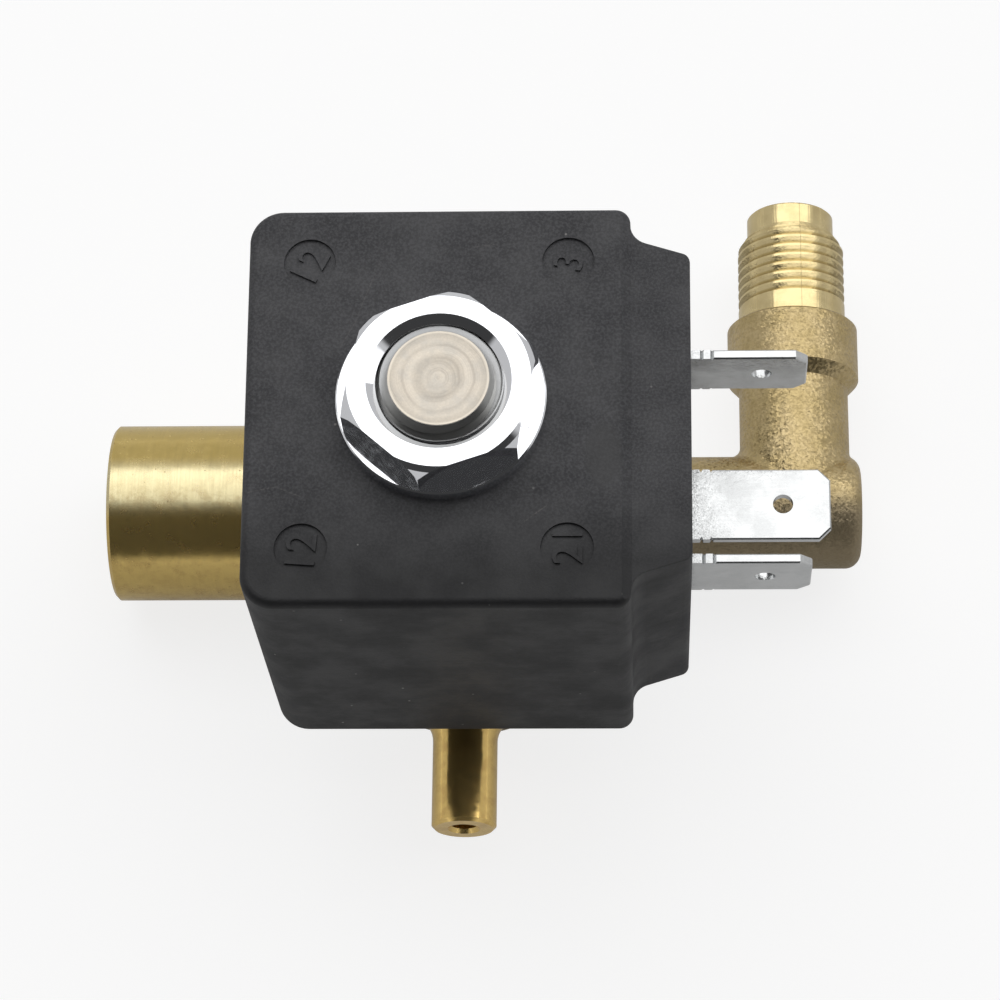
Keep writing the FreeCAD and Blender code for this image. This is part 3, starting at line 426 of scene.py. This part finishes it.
def tin_plate():
    """Tinned sheet brass: satin, with a fine sparkling grain and short rolling marks along X."""
    tin = Finish("tin_plate", (0.70, 0.71, 0.71), 1.0, 0.25)
    grain = tin.noise(0.16 * MM, 2.0, 0.6)
    rolled = tin.streaks((3.5, 0.18, 0.18))
    cloud = tin.noise(2.2 * MM, 3.0, 0.6)
    tone = tin.mixed(tin.between(cloud, 0.35, 0.7), (0.68, 0.69, 0.69), (0.62, 0.63, 0.63))
    tin.set("Base Color", tin.mixed(tin.between(rolled, 0.64, 0.40, 0.0, 0.15), tone, (0.52, 0.52, 0.53)))
    tin.set("Roughness", tin.between(cloud, 0.35, 0.7, 0.20, 0.27))
    relief = tin.bump(rolled, 0.004 * MM, tin.bump(grain, 0.008 * MM))
    tin.set("Normal", tin.facetted(relief, 1.0, 0.12 * MM, 0.06))
    return tin.material


def wound_copper():
    """Enamelled wire: rounded turns one wire apart up the axis, with painted shade in the grooves between
    them and slow changes of tint.
    """
    wire = Finish("wound_copper", (0.62, 0.25, 0.12), 0.9, 0.3, Coat_Weight=0.6, Coat_Roughness=0.15)
    _, _, z = wire.axes()
    turns = wire.maths("SINE", wire.product(z, 2 * math.pi / (0.25 * MM)))
    turns = wire.maths("MULTIPLY_ADD", turns, 0.5, 0.5)
    cloud = wire.noise(1.5 * MM, 3.0, 0.6)
    tone = wire.mixed(wire.between(cloud, 0.35, 0.7), (0.66, 0.27, 0.13), (0.48, 0.18, 0.08))
    # Painted shade in the grooves between the turns.
    wire.set("Base Color", wire.mixed(wire.between(turns, 0.4, 0.0, 0.0, 0.6), tone, (0.16, 0.06, 0.03)))
    wire.set("Normal", wire.bump(turns, 0.05 * MM))
    return wire.material


# ------------------------------------------------------------------------------------------ nut and stud
def nut_chrome():
    """Bright plating over a machined nut: nearly a mirror, with slight waves and a few pinholes."""
    chrome = Finish("nut_chrome", (0.88, 0.89, 0.92), 1.0, 0.05)
    pinholes = chrome.between(chrome.cells(1.7 * MM), 0.06, 0.03)
    haze = chrome.noise(0.8 * MM, 3.0, 0.6)
    colour = chrome.mixed(chrome.product(pinholes, 0.6), (0.88, 0.89, 0.92), (0.30, 0.30, 0.31))
    chrome.set("Base Color", colour)
    chrome.set("Roughness", chrome.between(haze, 0.35, 0.75, 0.035, 0.10))
    chrome.set("Normal", chrome.bump(chrome.noise(3.0 * MM, 1.0), 0.014 * MM))
    return chrome.material


def core_nickel():
    """Dull nickel over turned steel: uneven rings round the axis on the stud's end, a painted highlight along
    its edge, darker on its flank.
    """
    core = Finish("core_nickel", (0.58, 0.52, 0.44), 1.0, 0.36)
    x, y, z = core.axes()
    face = core.between(z, STUD_TOP_Z - 0.05 * MM, STUD_TOP_Z - 0.01 * MM)
    radius = core.radius(x, y)
    drift = core.product(core.maths("SUBTRACT", core.noise(2.2 * MM), 0.5), 0.4 * MM)
    swept = core.node("ShaderNodeCombineXYZ", {0: core.maths("ADD", radius, drift)}).outputs[0]
    rings = core.noise(0.26 * MM, 3.0, 0.6, swept)
    broad = core.noise(1.0 * MM, 2.0, 0.5, swept)
    cloud = core.noise(1.4 * MM, 3.0, 0.6)
    grain = core.noise(0.18 * MM, 2.0, 0.6)
    patchy = core.between(core.noise(2.6 * MM, 1.0), 0.40, 0.62, 0.15, 1.0)

    end = core.mixed(core.between(cloud, 0.35, 0.7), (0.58, 0.525, 0.445), (0.50, 0.465, 0.41))
    end = core.mixed(core.between(grain, 0.62, 0.40, 0.0, 0.2), end, (0.40, 0.36, 0.31))
    arcs = core.product(core.between(rings, 0.56, 0.38), patchy)
    end = core.mixed(core.product(arcs, 0.35), end, (0.32, 0.28, 0.24))
    # Painted highlight: a light ring along the edge of the stud's end.
    painted_edge_highlight = core.window(radius, STUD_FACE_RADIUS - 0.16 * MM, STUD_FACE_RADIUS, 0.06 * MM)
    end = core.mixed(core.product(painted_edge_highlight, 0.6), end, (0.72, 0.66, 0.56))
    core.set("Base Color", core.mixed(face, (0.40, 0.40, 0.39), end))
    core.set("Roughness", core.blended(face, 0.3, core.between(broad, 0.35, 0.65, 0.32, 0.44)))

    relief = core.bump(core.product(rings, face, patchy), 0.02 * MM)
    relief = core.bump(core.product(broad, face), 0.03 * MM, relief)
    core.set("Normal", core.bump(core.streaks((3, 3, 0.12), 2.0), 0.006 * MM, relief))
    return core.material


# ----------------------------------------------------------------------------------------- hidden pieces
def drawn_metal(name, light, dark, roughness, steps):
    """Turned or drawn metal: a fine line pattern that changes over the steps along the axes."""
    metal = Finish(name, light, 1.0, roughness)
    lines = metal.streaks(steps)
    cloud = metal.noise(1.8 * MM, 3.0, 0.6)
    tone = metal.mixed(metal.between(cloud, 0.35, 0.7, 0.0, 0.7), light, dark)
    metal.set("Base Color", metal.mixed(metal.between(lines, 0.6, 0.36, 0.0, 0.3), tone, dark))
    metal.set("Roughness", metal.between(cloud, 0.3, 0.7, roughness * 0.85, roughness * 1.25))
    metal.set("Normal", metal.bump(lines, 0.006 * MM))
    return metal.material


def plain_moulding(name, light, dark, roughness, grain_size):
    """Rubber, nylon or film: two tones in slow clouds under a fine moulded grain."""
    soft = Finish(name, light, 0.0, roughness)
    cloud = soft.noise(2.4 * MM, 3.0, 0.6)
    grain = soft.noise(grain_size * MM, 3.0, 0.65)
    tone = soft.mixed(soft.between(cloud, 0.35, 0.7), light, dark)
    soft.set("Base Color", soft.mixed(soft.between(grain, 0.65, 0.4, 0.0, 0.3), tone, dark))
    soft.set("Roughness", soft.between(cloud, 0.3, 0.7, roughness * 0.9, roughness * 1.15))
    soft.set("Normal", soft.bump(grain, 0.012 * MM))
    return soft.material


# By material slot: name, light and dark tone, roughness, and the steps of the lines in millimetres.
DRAWN_METALS = {
    "stainless_seat": ("seat_steel", (0.66, 0.65, 0.62), (0.45, 0.44, 0.42), 0.22, (3, 3, 0.1)),
    "tube_steel": ("tube_steel", (0.68, 0.68, 0.67), (0.50, 0.50, 0.50), 0.24, (4, 4, 0.12)),
    "collar_nickel": ("collar_nickel", (0.66, 0.64, 0.58), (0.48, 0.46, 0.42), 0.28, (3, 3, 0.12)),
    "shade_copper": ("shade_copper", (0.78, 0.40, 0.26), (0.52, 0.24, 0.15), 0.26, (2, 2, 0.1)),
    "plunger_steel": ("plunger_steel", (0.62, 0.61, 0.59), (0.44, 0.44, 0.43), 0.26, (4, 4, 0.1)),
    "spring_steel": ("spring_steel", (0.60, 0.60, 0.61), (0.40, 0.40, 0.41), 0.25, (0.2, 0.2, 1)),
    "yoke_steel": ("yoke_zinc", (0.56, 0.57, 0.58), (0.42, 0.43, 0.44), 0.34, (0.3, 3, 3)),
}

# By material slot: name, light and dark tone, roughness, and the grain's size in millimetres.
PLAIN_MOULDINGS = {
    "seal_rubber": ("seal_rubber", (0.045, 0.044, 0.043), (0.028, 0.028, 0.028), 0.5, 0.4),
    "bobbin_plastic": ("bobbin_nylon", (0.72, 0.69, 0.58), (0.60, 0.56, 0.45), 0.42, 0.4),
    "tape_film": ("winding_tape", (0.72, 0.50, 0.10), (0.60, 0.40, 0.08), 0.22, 0.9),
}


def make_finishes():
    """One finish for each material slot of the record."""
    made = {
        "forged_brass": BodyBrass().material,
        "coil_moulding": coil_plastic(),
        "nut_chrome": nut_chrome(),
        "core_steel": core_nickel(),
        "tin_plate": tin_plate(),
        "winding_copper": wound_copper(),
    }
    made.update({slot: drawn_metal(*values) for slot, values in DRAWN_METALS.items()})
    made.update({slot: plain_moulding(*values) for slot, values in PLAIN_MOULDINGS.items()})
    return made


# --------------------------------------------------------------------------------------- moulded numbers
def raised_text(text):
    """A text's outline, filled and given a thickness, as a mesh."""
    curve = bpy.data.curves.new("number", "FONT")
    curve.body = text
    curve.align_x = "CENTER"
    curve.align_y = "CENTER"
    curve.resolution_u = 6
    curve.extrude = 0.5
    lettering = bpy.data.objects.new("number_curve", curve)
    bpy.context.scene.collection.objects.link(lettering)
    bpy.context.view_layer.update()
    shape = lettering.evaluated_get(bpy.context.evaluated_depsgraph_get())
    mesh = bpy.data.meshes.new_from_object(shape)
    bpy.data.objects.remove(lettering)
    bpy.data.curves.remove(curve)
    return mesh


def close_seams(mesh):
    """One closed skin with its faces outwards."""
    solid = bmesh.new()
    solid.from_mesh(mesh)
    bmesh.ops.remove_doubles(solid, verts=solid.verts, dist=0.002 * MM)
    bmesh.ops.recalc_face_normals(solid, faces=solid.faces)
    solid.to_mesh(mesh)
    solid.free()


def moulded_number(text, x, y, angle):
    """A raised number in one of the coil's round recesses, its foot sunk in the recess's floor.

    Every point is measured from the middle of the text, scaled to the mark's height and depth, turned by the
    angle about Z and moved to the recess.
    """
    mesh = raised_text(text)
    points = np.empty(3 * len(mesh.vertices), np.float32)
    mesh.vertices.foreach_get("co", points)
    points = points.reshape(-1, 3)
    low, high = points.min(0), points.max(0)
    tall = MARK_HEIGHT / (high[1] - low[1])
    deep = (MARK_TOP_Z - MARK_FOOT_Z) / (high[2] - low[2])
    turn = math.radians(angle)
    turned = np.array([[math.cos(turn), math.sin(turn), 0], [-math.sin(turn), math.cos(turn), 0], [0, 0, 1]])
    points = (points - (low + high) / 2) * (tall, tall, deep) @ turned
    points += (x * MM, y * MM, (MARK_TOP_Z + MARK_FOOT_Z) / 2)
    mesh.vertices.foreach_set("co", points.ravel())
    close_seams(mesh)
    return mesh


def moulded_numbers(finish):
    for count, mark in enumerate(MARKS, start=1):
        mesh = moulded_number(*mark)
        mesh.materials.clear()
        mesh.materials.append(finish)
        number = bpy.data.objects.new(f"moulded_number_{count}", mesh)
        bpy.context.scene.collection.objects.link(number)
        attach(number, "coil")


# ------------------------------------------------------------------------------------------------ studio
def dark_screen(room, x, y, z):
    """Share of the screen: between two bearings, between two heights, with soft edges."""
    bearing = room.maths("ARCTAN2", x, room.product(y, -1.0))
    left = room.between(z, *SCREEN_STEP, *map(math.radians, SCREEN_LEFT))
    foot = room.between(bearing, *map(math.radians, SCREEN_FOOT_TURN), *SCREEN_FOOT)
    soft = math.radians(SCREEN_SOFT)
    right = math.radians(SCREEN_RIGHT)
    return room.product(room.between(room.maths("SUBTRACT", bearing, left), -soft, soft),
                        room.between(bearing, right + soft, right - soft),
                        room.between(room.maths("SUBTRACT", z, foot), -SCREEN_FOOT_SOFT, SCREEN_FOOT_SOFT),
                        room.between(z, SCREEN_TOP[1], SCREEN_TOP[0]))


def softbox(room, x, y, z):
    """Share and level of the softbox, from a direction's place x/z and y/z on a ceiling one unit up."""
    up = room.maths("MAXIMUM", z, 0.02)
    across = room.maths("DIVIDE", x, up)
    along = room.maths("DIVIDE", y, up)
    share = room.product(room.window(across, *BOX_ACROSS, 0.04),
                         room.window(along, *BOX_ALONG, 0.03),
                         room.between(room.maths("ADD", across, along), *BOX_CORNER),
                         room.between(z, *BOX_FADE))
    thin_line = room.product(room.window(across, *BOX_SEAM, 0.006), 0.45)
    level = room.blended(thin_line, room.between(along, *BOX_ALONG, *BOX_LEVEL), BOX_SEAM_LEVEL)
    return share, level


def softbox_room():
    """World: a softbox overhead, a dark screen on the operator's side, pale walls, and white behind it all.

    A direction's height above the horizon is z. The camera sees plain white, and so do mirrors and glass at
    and below the horizon.
    """
    world = bpy.data.worlds.new("softbox_room")
    world.use_nodes = True
    bpy.context.scene.world = world
    room = Nodes(world.node_tree, "Generated")
    x, y, z = room.axes()
    walls = room.between(z, 0.0, 0.25, *WALL_LEVEL)
    level = room.blended(dark_screen(room, x, y, z), walls, SCREEN_LEVEL)
    share, box_level = softbox(room, x, y, z)
    level = room.blended(share, level, box_level)

    path = room.node("ShaderNodeLightPath").outputs
    mirrored = room.largest(path["Is Glossy Ray"], path["Is Transmission Ray"])
    white = room.largest(path["Is Camera Ray"], room.product(mirrored, room.between(z, 0.06, 0.0)))
    level = room.blended(white, level, 1.0)
    grey = room.node("ShaderNodeCombineColor", {"Red": level, "Green": level, "Blue": level})
    background = world.node_tree.nodes["Background"]
    room.feed(background.inputs["Color"], grey.outputs[0])
    background.inputs["Strength"].default_value = 1.0


def floor_paint():
    """To the camera most of the floor's white is its own glow, so it keeps only a light shadow."""
    material = bpy.data.materials.new("white_floor")
    material.use_nodes = True
    material.node_tree.nodes.remove(material.node_tree.nodes["Principled BSDF"])
    paint = Nodes(material.node_tree, "Object")
    path = paint.node("ShaderNodeLightPath").outputs
    mirrored = paint.largest(path["Is Glossy Ray"], path["Is Transmission Ray"])
    seen = paint.largest(path["Is Camera Ray"], paint.product(mirrored, FLOOR_MIRRORED))
    glow = paint.node("ShaderNodeEmission", {"Color": (1.0, 1.0, 1.0), "Strength": FLOOR_GLOW})
    lit = paint.node("ShaderNodeBsdfDiffuse", {"Color": (FLOOR_SHADE,) * 3})
    own = paint.node("ShaderNodeAddShader", {0: glow.outputs[0], 1: lit.outputs[0]})
    plain = paint.node("ShaderNodeBsdfDiffuse", {"Color": (FLOOR_GREY,) * 3})
    mix = paint.node("ShaderNodeMixShader", {0: seen, 1: plain.outputs[0], 2: own.outputs[0]})
    paint.feed(material.node_tree.nodes["Material Output"].inputs["Surface"], mix.outputs[0])
    return material


def white_floor():
    """A wide square just under the valve."""
    mesh = bpy.data.meshes.new("floor")
    corners = [(-1, -1), (1, -1), (1, 1), (-1, 1)]
    mesh.from_pydata([(x * FLOOR_HALF, y * FLOOR_HALF, FLOOR_Z) for x, y in corners], [], [(0, 1, 2, 3)])
    mesh.materials.append(floor_paint())
    floor = bpy.data.objects.new("floor", mesh)
    bpy.context.scene.collection.objects.link(floor)


def studio_camera():
    data = bpy.data.cameras.new("camera")
    data.sensor_width = 36.0
    data.lens = CAMERA_LENS
    data.clip_start = 0.01
    data.clip_end = 20.0
    camera = bpy.data.objects.new("camera", data)
    camera.matrix_world = (Matrix.Translation(EYE)
                           @ Matrix.Rotation(math.radians(CAMERA_PITCH), 4, "X")
                           @ Matrix.Rotation(math.radians(CAMERA_YAW), 4, "Y")
                           @ Matrix.Rotation(math.radians(CAMERA_ROLL), 4, "Z"))
    bpy.context.scene.collection.objects.link(camera)
    bpy.context.scene.camera = camera


# ------------------------------------------------------------------------------------------------- scene
finishes = make_finishes()
for part in frame["record"]["subparts"]:
    node = frame["nodes"][part["node"]]
    node.data.materials.clear()
    node.data.materials.append(finishes[part["material_slot"]])
moulded_numbers(finishes["coil_moulding"])
softbox_room()
white_floor()
studio_camera()
bpy.context.scene.view_settings.view_transform = "Standard"
